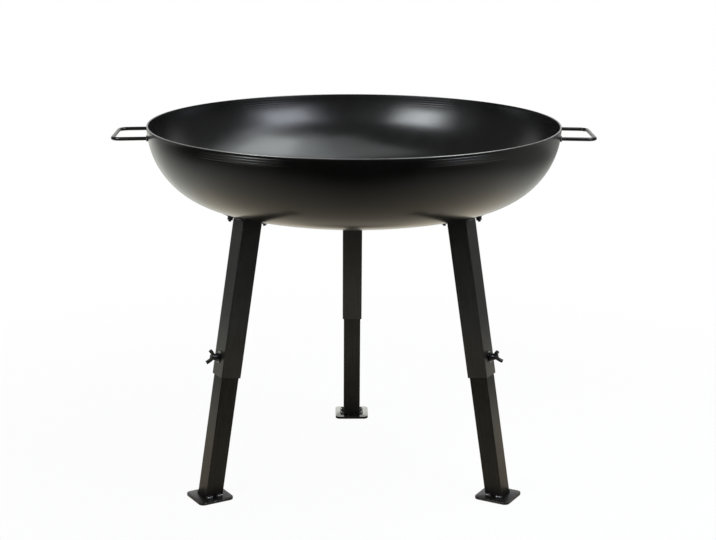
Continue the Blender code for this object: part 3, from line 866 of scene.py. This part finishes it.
spin = add(tree, "ShaderNodeMath", {0: spin, 1: SPIN_DEPTH}, operation="MULTIPLY").outputs["Value"]
relief = add(tree, "ShaderNodeMath", {0: rings, 1: RING_DEPTH, 2: spin}, operation="MULTIPLY_ADD")
relief = add(tree, "ShaderNodeMath", {
    0: grit, 1: GRIT_DEPTH, 2: relief.outputs["Value"]}, operation="MULTIPLY_ADD")

tint = add(tree, "ShaderNodeMix", {
    0: cloud, MIX_A: linear("#060605"), MIX_B: linear("#0d0c0b")}, data_type="RGBA")
gloss = add(tree, "ShaderNodeMapRange", {
    "Value": cloud, "From Min": 0.3, "From Max": 0.7, "To Min": 0.19, "To Max": 0.24})
facing = add(tree, "ShaderNodeSeparateXYZ", {"Vector": add(tree, "ShaderNodeNewGeometry").outputs["Normal"]})
inside = add(tree, "ShaderNodeMapRange", {
    "Value": facing.outputs["Z"], "From Min": -0.02, "From Max": 0.02, "To Max": DRY_SPRAY})
gloss = add(tree, "ShaderNodeMath", {
    0: gloss.outputs["Result"], 1: inside.outputs["Result"]}, operation="ADD")

bare = add(tree, "ShaderNodeMapRange", {
    "Value": height, "From Min": RIM_HEIGHT - 0.0012, "From Max": RIM_HEIGHT - 0.0006}).outputs["Result"]
lip = add(tree, "ShaderNodeMapRange", {
    "Value": radius, "From Min": RIM_RADIUS - 0.0022, "From Max": RIM_RADIUS - 0.0010})
rubbed = add(tree, "ShaderNodeMapRange", {
    "Value": broken, "From Min": 0.35, "From Max": 0.6, "To Min": 0.55, "To Max": 1.0})
pressed = add(tree, "ShaderNodeMapRange", {"Value": held.outputs["Result"], "To Min": 0.3, "To Max": 1.0})
for mask in (lip, rubbed, pressed):
    bare = add(tree, "ShaderNodeMath", {
        0: bare, 1: mask.outputs["Result"]}, operation="MULTIPLY").outputs["Value"]
colour = add(tree, "ShaderNodeMix", {
    0: bare, MIX_A: tint.outputs[MIX_OUT], MIX_B: linear("#b4b2ac")}, data_type="RGBA")
rough = add(tree, "ShaderNodeMath", {
    0: bare, 1: STEEL_ROUGHNESS, 2: gloss.outputs["Value"]}, operation="MULTIPLY_ADD")
tree.links.new(bare, shader.inputs["Metallic"])
finish_with(tree, shader, colour.outputs[MIX_OUT], rough.outputs["Value"], relief.outputs["Value"], BUMP_UNIT)
print("paint of the dish:", len(tree.nodes), "nodes")

# %% [markdown]
# ## Lacquer of the tubes
# Rolled steel tube under a thin black lacquer. The rolling leaves lengthwise streaks a millimetre or two wide
# and a hand long. The lower tubes slide in the upper ones, so their lacquer is thinner, browner and more
# streaked. Each tube lies along its own Z, and so do the streaks. A dark line is painted along each rounded
# corner, a painted reflection of the dark room there, and here and there the lacquer is rubbed off the
# corners.

# %% Lacquer on rolled tube
STREAK_WIDTH = 0.0022
STREAK_LENGTH = 0.090
STAIN_SIZE = 0.030
STAIN_SHARE = 0.35           # how much the stains count beside the streaks
MIDDLE = 0.68                # where streak and stain together are halfway from dark to light
RUB_SIZE = 0.006
TUBE_RELIEF = 0.00006


def rubbed_edges(tree, place_m, size, share):
    """How far the paint is gone: on outer edges only, in patches of that size, and never more than share."""
    shape = add(tree, "ShaderNodeNewGeometry")
    edge = add(tree, "ShaderNodeMapRange", {
        "Value": shape.outputs["Pointiness"], "From Min": 0.53, "From Max": 0.62, "To Max": share})
    patch = add(tree, "ShaderNodeTexNoise", {"Vector": place_m, "Scale": 1 / size, "Detail": 3.0})
    kept = add(tree, "ShaderNodeMapRange", {
        "Value": patch.outputs["Fac"], "From Min": 0.45, "From Max": 0.65})
    return add(tree, "ShaderNodeMath", {
        0: edge.outputs["Result"], 1: kept.outputs["Result"]}, operation="MULTIPLY").outputs["Value"]


def tube_material(name, dark, light, low, high, contrast, ior=1.5):
    """Lacquer between two colours and between two roughnesses; a low contrast gives harder streaks."""
    material, tree, shader, place_m = new_material(name, ior)
    stretch = (1 / STREAK_WIDTH, 1 / STREAK_WIDTH, 1 / STREAK_LENGTH)
    drawn = add(tree, "ShaderNodeVectorMath", {0: place_m, 1: stretch}, operation="MULTIPLY")
    streak = add(tree, "ShaderNodeTexNoise", {
        "Vector": drawn.outputs["Vector"], "Scale": 1.0, "Detail": 3.0}).outputs["Fac"]
    stain = add(tree, "ShaderNodeTexNoise", {"Vector": place_m, "Scale": 1 / STAIN_SIZE, "Detail": 3.0})
    both = add(tree, "ShaderNodeMath", {
        0: stain.outputs["Fac"], 1: STAIN_SHARE, 2: streak}, operation="MULTIPLY_ADD")
    share = add(tree, "ShaderNodeMapRange", {
        "Value": both.outputs["Value"], "From Min": MIDDLE - contrast, "From Max": MIDDLE + contrast})
    tint = add(tree, "ShaderNodeMix", {
        0: share.outputs["Result"], MIX_A: linear(dark), MIX_B: linear(light)}, data_type="RGBA")
    # Painted reflection: convex corners are darkened towards #030303 to stand for the dark room that they
    # mirror
    corner = add(tree, "ShaderNodeMapRange", {
        "Value": add(tree, "ShaderNodeNewGeometry").outputs["Pointiness"],
        "From Min": 0.55, "From Max": 0.60, "To Max": 0.9})
    tint = add(tree, "ShaderNodeMix", {
        0: corner.outputs["Result"], MIX_A: tint.outputs[MIX_OUT], MIX_B: linear("#030303")},
        data_type="RGBA")
    worn = rubbed_edges(tree, place_m, RUB_SIZE, 0.2)
    colour = add(tree, "ShaderNodeMix", {
        0: worn, MIX_A: tint.outputs[MIX_OUT], MIX_B: linear("#5c5952")}, data_type="RGBA")
    gloss = add(tree, "ShaderNodeMapRange", {
        "Value": streak, "From Min": 0.3, "From Max": 0.7, "To Min": low, "To Max": high})
    finish_with(tree, shader, colour.outputs[MIX_OUT], gloss.outputs["Result"], streak, TUBE_RELIEF)
    return material


lacquer = tube_material("lacquer_on_rolled_steel_tube", "#181816", "#272623", 0.32, 0.42, 0.20, 1.42)
thin_lacquer = tube_material("thin_lacquer_on_sliding_tube", "#050403", "#18140f", 0.30, 0.42, 0.10, 1.40)
print("lacquer:", len(lacquer.node_tree.nodes), "nodes")

# %% [markdown]
# ## Paint of the plates, handles and fasteners
# These small pieces get the dish's paint. On the cut plates it is thick and shiny, and on the drawn rod it is
# smooth. Weld beads are melted steel, so the paint on them is glassy and their puddles sparkle. The tacks of
# the clamp nuts stayed nearly bare, and are grey. The fasteners are zinc plated steel in black: thin, even
# and semi-gloss. What differs is the grain and how far it shines, so one function serves them all.

# %% Paint with grain
CLOUD_GRAINS = 12            # how many grains wide the cloudiness is
WORN_GRAINS = 4              # and a patch that is rubbed off


def grain_material(name, dark, light, rough, grain, depth, wear, ior=1.5):
    """Paint with grain of that size and depth, in metres, between two colours and two roughnesses."""
    material, tree, shader, place_m = new_material(name, ior)
    cloud = add(tree, "ShaderNodeTexNoise", {
        "Vector": place_m, "Scale": 1 / (CLOUD_GRAINS * grain), "Detail": 3.0})
    fine = add(tree, "ShaderNodeTexNoise", {
        "Vector": place_m, "Scale": 1 / grain, "Detail": 3.0}).outputs["Fac"]
    both = add(tree, "ShaderNodeMath", {0: cloud.outputs["Fac"], 1: fine}, operation="MULTIPLY")
    share = add(tree, "ShaderNodeMapRange", {
        "Value": both.outputs["Value"], "From Min": 0.15, "From Max": 0.38})
    tint = add(tree, "ShaderNodeMix", {
        0: share.outputs["Result"], MIX_A: linear(dark), MIX_B: linear(light)}, data_type="RGBA")
    worn = rubbed_edges(tree, place_m, WORN_GRAINS * grain, wear)
    colour = add(tree, "ShaderNodeMix", {
        0: worn, MIX_A: tint.outputs[MIX_OUT], MIX_B: linear("#b8b7b0")}, data_type="RGBA")
    tree.links.new(worn, shader.inputs["Metallic"])
    gloss = add(tree, "ShaderNodeMapRange", {
        "Value": fine, "From Min": 0.3, "From Max": 0.7, "To Min": rough[0], "To Max": rough[1]})
    finish_with(tree, shader, colour.outputs[MIX_OUT], gloss.outputs["Result"], fine, depth)
    return material


rod_paint = grain_material(
    "silicone_paint_on_drawn_rod", "#080808", "#121211", (0.18, 0.26), 0.0012, 0.000006, 0.0)
plate_paint = grain_material(
    "silicone_paint_on_cut_plate", "#0a0a0a", "#1a1a19", (0.24, 0.34), 0.0016, 0.00003, 0.2, 1.42)
bead_paint = grain_material(
    "glassy_paint_on_weld_beads", "#080808", "#141413", (0.04, 0.10), 0.0010, 0.00004, 0.9, 2.2)
tack_steel = grain_material(
    "bare_weld_metal_under_haze", "#6a6c64", "#b4b6aa", (0.30, 0.45), 0.0008, 0.00004, 0.3)
black_zinc = grain_material(
    "black_zinc_on_steel", "#050505", "#101010", (0.20, 0.32), 0.0010, 0.00001, 0.15)
print("paint with grain:", len(black_zinc.node_tree.nodes), "nodes")

# %% [markdown]
# ## The rear foot
# In the picture the rear plate's top mirrors the white backdrop, with the leg's dark reflection in it, while
# its sides are black. So its top is ground steel with hardly any paint. The shader asks which way the face
# points: level faces are steel, with the fine scratches of the grinder, and all others are painted.

# %% Ground steel top
SCRATCH_WIDTH = 0.0009
SCRATCH_LENGTH = 0.030
SCRATCH_TURN = math.radians(55)
SCRATCH_DEPTH = 0.00002
HAZE_SIZE = 0.02

ground, tree, shader, place_m = new_material("ground_steel_with_painted_sides")
facing = add(tree, "ShaderNodeSeparateXYZ", {"Vector": add(tree, "ShaderNodeNewGeometry").outputs["Normal"]})
level = add(tree, "ShaderNodeMapRange", {
    "Value": facing.outputs["Z"], "From Min": 0.90, "From Max": 0.99}).outputs["Result"]
skewed = add(tree, "ShaderNodeMapping", {
    "Vector": place_m, "Rotation": (0, 0, SCRATCH_TURN),
    "Scale": (1 / SCRATCH_LENGTH, 1 / SCRATCH_WIDTH, 1 / SCRATCH_WIDTH)})
scratch = add(tree, "ShaderNodeTexNoise", {
    "Vector": skewed.outputs["Vector"], "Scale": 1.0, "Detail": 2.0}).outputs["Fac"]
haze = add(tree, "ShaderNodeTexNoise", {"Vector": place_m, "Scale": 1 / HAZE_SIZE, "Detail": 3.0})
steel = add(tree, "ShaderNodeMix", {
    0: haze.outputs["Fac"], MIX_A: linear("#a5a59e"), MIX_B: linear("#d2d3cc")}, data_type="RGBA")
colour = add(tree, "ShaderNodeMix", {
    0: level, MIX_A: linear("#0c0c0c"), MIX_B: steel.outputs[MIX_OUT]}, data_type="RGBA")
gloss = add(tree, "ShaderNodeMapRange", {
    "Value": scratch, "From Min": 0.3, "From Max": 0.7, "To Min": 0.10, "To Max": 0.22})
tree.links.new(level, shader.inputs["Metallic"])
finish_with(tree, shader, colour.outputs[MIX_OUT], gloss.outputs["Result"], scratch, SCRATCH_DEPTH)
print("ground steel:", len(tree.nodes), "nodes")

# %% [markdown]
# ## Which piece gets which finish
# The slots of the measured part name five finishes. Some pieces in a slot look different: the sliding tubes
# have thinner lacquer, weld beads are glassy, the clamps' tacks are grey, and the rear foot is bare on top.
# So each slot has its usual finish, and the start of a piece's name may call for another.

# %% Give each piece its finish
finishes = {"bowl_black": paint_dish, "tube_black": lacquer, "handle_black": rod_paint,
            "plate_black": plate_paint, "fastener_black": black_zinc}
special = {"lower_tube": thin_lacquer, "foot_weld": bead_paint, "handle_weld": bead_paint,
           "strap_weld": bead_paint, "clamp_tack": tack_steel, "foot_rear": ground}
for slot, material in finishes.items():
    for piece in pieces[slot]:
        chosen = [special[start] for start in special if piece.name.startswith(start)]
        piece.data.materials.clear()
        piece.data.materials.append(chosen[0] if chosen else material)
print("finishes:", sorted({piece.data.materials[0].name for slot in pieces.values() for piece in slot}))

# %% [markdown]
# ## Studio light
# Black gloss shows what stands round it more than its own colour. Two soft boxes stand in front, left and
# right, and a third hangs over the right side. A real soft box is brightest in its middle, so each of them is
# two lamps, a wide dim one and a smaller bright one. Two single dim ones fill in from straight above and
# from the right. The front between the boxes is left dark, which gives the deep black band below the rim.

# %% Lamps
LAMP_AIM = Vector((0, 0, 0.62))
RIGHT_LIGHT, LEFT_LIGHT, TOP_LIGHT = "#edf4ff", "#f5fcff", "#f7feff"


def soft_box(name, azimuth, elevation, distance, size, radiance, colour):
    """An area lamp that far from the dish. Azimuth runs clockwise from the back, seen from above."""
    turn, rise = math.radians(azimuth), math.radians(elevation)
    data = bpy.data.lights.new(name, "AREA")
    data.shape = "RECTANGLE"
    data.size, data.size_y = size
    data.energy = radiance * math.pi * size[0] * size[1]
    data.color = linear(colour)[:3]
    lamp = bpy.data.objects.new(name, data)
    bpy.context.scene.collection.objects.link(lamp)
    toward = Vector((math.sin(turn) * math.cos(rise), math.cos(turn) * math.cos(rise), math.sin(rise)))
    aim = toward.to_track_quat("Z", "Y").to_matrix().to_4x4()
    lamp.matrix_world = Matrix.Translation(LAMP_AIM + toward * distance) @ aim
    lamp.visible_camera = False
    return lamp


soft_box("right_wide", 133, 26, 2.4, (1.9, 1.5), 1.1, RIGHT_LIGHT)
soft_box("right_core", 133, 27, 2.3, (1.05, 0.85), 4.5, RIGHT_LIGHT)
soft_box("left_wide", 228, 27, 2.4, (1.7, 1.5), 1.2, LEFT_LIGHT)
soft_box("left_core", 227, 29, 2.3, (1.0, 0.95), 6.9, LEFT_LIGHT)
soft_box("overhead_wide", 76, 60, 2.3, (2.6, 1.7), 0.95, TOP_LIGHT)
soft_box("overhead_core", 76, 60, 2.2, (1.35, 0.8), 3.4, TOP_LIGHT)
soft_box("overhead_high", 60, 81, 2.2, (1.7, 1.5), 0.95, TOP_LIGHT)
soft_box("right_fill", 112, 43, 2.4, (1.5, 0.6), 1.0, RIGHT_LIGHT)

# %% [markdown]
# ## Paper floor
# White paper lies under the object and up behind it. The camera sees the white backdrop in its place, with
# the object's faint shadow near the feet, so a foot that is drawn out below this level still shows.

# %% Floor
FLOOR_HALF = 20

floor_mesh = bpy.data.meshes.new("floor")
floor_mesh.from_pydata([(-FLOOR_HALF, -FLOOR_HALF, 0), (FLOOR_HALF, -FLOOR_HALF, 0),
                        (FLOOR_HALF, FLOOR_HALF, 0), (-FLOOR_HALF, FLOOR_HALF, 0)], [], [(0, 1, 2, 3)])
floor = bpy.data.objects.new("floor", floor_mesh)
bpy.context.scene.collection.objects.link(floor)

paper = bpy.data.materials.new("white_paper")
paper.use_nodes = True
tree = paper.node_tree
tree.nodes.clear()
where = add(tree, "ShaderNodeTexCoord").outputs["Object"]
spot = add(tree, "ShaderNodeSeparateXYZ", {"Vector": where})
reach = add(tree, "ShaderNodeVectorMath", {0: where}, operation="LENGTH").outputs["Value"]
print("floor:", 2 * FLOOR_HALF, "m wide, of", paper.name)

# %% [markdown]
# ## What the paint sees of the paper
# Glossy paint mirrors the paper, and the paper is lit unevenly: white behind and at the sides, dark towards
# the front, where it ends, and a little dimmer and warmer in the shade under the dish. Each of these is a
# number between dark and full over the floor, and the numbers are multiplied. Only the far paper, which runs
# up into the light, keeps a level of its own. Right at the rear foot a painted shadow makes the ground nearly
# black.

# %% Brightness of the mirrored paper
FRONT_END, FULL_LIGHT = -1.28, 0.38      # where the paper's light begins and is full, front to back
SIDE_BEND = 0.29             # how far these places move to the front for each metre to the side
LIGHT_CURVE = 1.65           # the power of its rise; above one, it starts slowly
LEFT_BEND = 0.53             # how far its left edge moves to the left for each metre to the back
FAR_LEVEL = 0.42
# size and darkest level of the painted shadow at the rear foot
FOOT_SHADOW_SIZE, FOOT_SHADOW_LEVEL = 0.24, 0.05

aside = add(tree, "ShaderNodeMath", {0: spot.outputs["X"]}, operation="ABSOLUTE")
forward = add(tree, "ShaderNodeMath", {
    0: aside.outputs["Value"], 1: SIDE_BEND, 2: spot.outputs["Y"]}, operation="MULTIPLY_ADD")
along = add(tree, "ShaderNodeMapRange", {
    "Value": forward.outputs["Value"], "From Min": FRONT_END, "From Max": FULL_LIGHT,
    "To Min": 0.001, "To Max": 1.0})
mirrored = add(tree, "ShaderNodeMath", {
    0: along.outputs["Result"], 1: LIGHT_CURVE}, operation="POWER").outputs["Value"]
behind = add(tree, "ShaderNodeMath", {0: spot.outputs["Y"], 1: 0.0}, operation="MAXIMUM")
spread = add(tree, "ShaderNodeMath", {
    0: behind.outputs["Value"], 1: LEFT_BEND, 2: spot.outputs["X"]}, operation="MULTIPLY_ADD")
left = add(tree, "ShaderNodeMapRange", {
    "Value": spread.outputs["Value"], "From Min": -2.5, "From Max": 0.0}, interpolation_type="SMOOTHSTEP")
right = add(tree, "ShaderNodeMapRange", {
    "Value": spot.outputs["X"], "From Min": 1.76, "From Max": 0.42, "To Min": 0.19, "To Max": 1.0},
    interpolation_type="SMOOTHSTEP")
under = add(tree, "ShaderNodeMapRange", {
    "Value": reach, "From Min": 0.1, "From Max": 0.8, "To Min": 0.93, "To Max": 1.10},
    interpolation_type="SMOOTHSTEP")
for share in (left, right, under):
    mirrored = add(tree, "ShaderNodeMath", {
        0: mirrored, 1: share.outputs["Result"]}, operation="MULTIPLY").outputs["Value"]
far_paper = add(tree, "ShaderNodeMapRange", {
    "Value": spot.outputs["Y"], "From Min": 0.8, "From Max": 2.0, "To Min": 0.0, "To Max": FAR_LEVEL})
mirrored = add(tree, "ShaderNodeMath", {
    0: mirrored, 1: far_paper.outputs["Result"]}, operation="MAXIMUM").outputs["Value"]
# Painted shadow of the rear foot in the mirrored paper: nearly black at the foot, fading out within a quarter
# metre
away = add(tree, "ShaderNodeVectorMath", {0: where, 1: (0, FOOT_CIRCLE_RADIUS, 0)}, operation="DISTANCE")
painted_foot_shadow = add(tree, "ShaderNodeMapRange", {
    "Value": away.outputs["Value"], "From Min": 0.0, "From Max": FOOT_SHADOW_SIZE,
    "To Min": FOOT_SHADOW_LEVEL, "To Max": 1.0})
mirrored = add(tree, "ShaderNodeMath", {
    0: mirrored, 1: painted_foot_shadow.outputs["Result"]}, operation="MULTIPLY").outputs["Value"]
print("the mirrored paper's light is full from", FULL_LIGHT, "m behind the middle")

# %% [markdown]
# ## Three ways to see the floor
# Light Path tells what kind of ray asks. A glossy one gets the mirrored paper, the camera gets the backdrop
# through clear paper with a trace of shadow, and any other gets plain white paper, which bounces light up.

# %% Paper
SHADOW_SHARE = 0.05          # how much of the paper, and so of the shadow on it, the camera sees
PAPER_WHITE = (0.9, 0.9, 0.9, 1)

shade = add(tree, "ShaderNodeMapRange", {
    "Value": reach, "From Min": 0.4, "From Max": 1.4}, interpolation_type="SMOOTHSTEP")
hue = add(tree, "ShaderNodeMix", {
    0: shade.outputs["Result"], MIX_A: linear("#fff3dc"), MIX_B: linear("#f8faf2")}, data_type="RGBA")
ray = add(tree, "ShaderNodeLightPath")
glow = add(tree, "ShaderNodeEmission", {"Color": hue.outputs[MIX_OUT], "Strength": mirrored})
white = add(tree, "ShaderNodeBsdfDiffuse", {"Color": PAPER_WHITE})
unseen = add(tree, "ShaderNodeMixShader", {
    "Fac": ray.outputs["Is Glossy Ray"], 1: white.outputs["BSDF"], 2: glow.outputs["Emission"]})
clear = add(tree, "ShaderNodeBsdfTransparent", {"Color": (1, 1, 1, 1)})
near = add(tree, "ShaderNodeMapRange", {
    "Value": reach, "From Min": 1.6, "From Max": 0.6, "To Min": 0.0, "To Max": SHADOW_SHARE},
    interpolation_type="SMOOTHSTEP")
seen = add(tree, "ShaderNodeMixShader", {
    "Fac": near.outputs["Result"], 1: clear.outputs["BSDF"], 2: white.outputs["BSDF"]})
surface = add(tree, "ShaderNodeMixShader", {
    "Fac": ray.outputs["Is Camera Ray"], 1: unseen.outputs["Shader"], 2: seen.outputs["Shader"]})
add(tree, "ShaderNodeOutputMaterial", {"Surface": surface.outputs["Shader"]})
floor_mesh.materials.append(paper)
print("paper:", len(tree.nodes), "nodes")

# %% [markdown]
# ## Backdrop
# White to the eye. In reflections it is white only low at the back, where the paper runs up, half as bright
# above that, and dim all round, as a studio is.

# %% Studio world
PAPER_TOP = (0.385, 0.34)    # sines of the elevations between which its white fades, upper one first
UPPER_LEVEL, LOWER_LEVEL = 0.38, 0.85
ROOM_LEVEL = 0.12

world = bpy.data.worlds.new("studio")
bpy.context.scene.world = world
world.use_nodes = True
tree = world.node_tree
tree.nodes.clear()
toward = add(tree, "ShaderNodeTexCoord").outputs["Generated"]
axes = add(tree, "ShaderNodeSeparateXYZ", {"Vector": toward})
back = add(tree, "ShaderNodeMapRange", {
    "Value": axes.outputs["Y"], "From Min": 0.45, "From Max": 0.85}, interpolation_type="SMOOTHSTEP")
low = add(tree, "ShaderNodeMapRange", {
    "Value": axes.outputs["Z"], "From Min": PAPER_TOP[0], "From Max": PAPER_TOP[1],
    "To Min": UPPER_LEVEL, "To Max": LOWER_LEVEL}, interpolation_type="SMOOTHSTEP")
bright = add(tree, "ShaderNodeMath", {
    0: back.outputs["Result"], 1: low.outputs["Result"]}, operation="MULTIPLY")
bright = add(tree, "ShaderNodeMath", {0: bright.outputs["Value"], 1: ROOM_LEVEL}, operation="ADD")
ray = add(tree, "ShaderNodeLightPath")
to_camera = add(tree, "ShaderNodeBackground", {"Color": (1, 1, 1, 1), "Strength": 1.0})
to_others = add(tree, "ShaderNodeBackground", {"Color": (1, 1, 1, 1), "Strength": bright.outputs["Value"]})
studio = add(tree, "ShaderNodeMixShader", {
    "Fac": ray.outputs["Is Camera Ray"],
    1: to_others.outputs["Background"], 2: to_camera.outputs["Background"]})
add(tree, "ShaderNodeOutputWorld", {"Surface": studio.outputs["Shader"]})
bpy.context.scene.view_settings.view_transform = "Standard"
print("backdrop: white to the eye, and from", ROOM_LEVEL, "to", ROOM_LEVEL + LOWER_LEVEL, "in reflections")
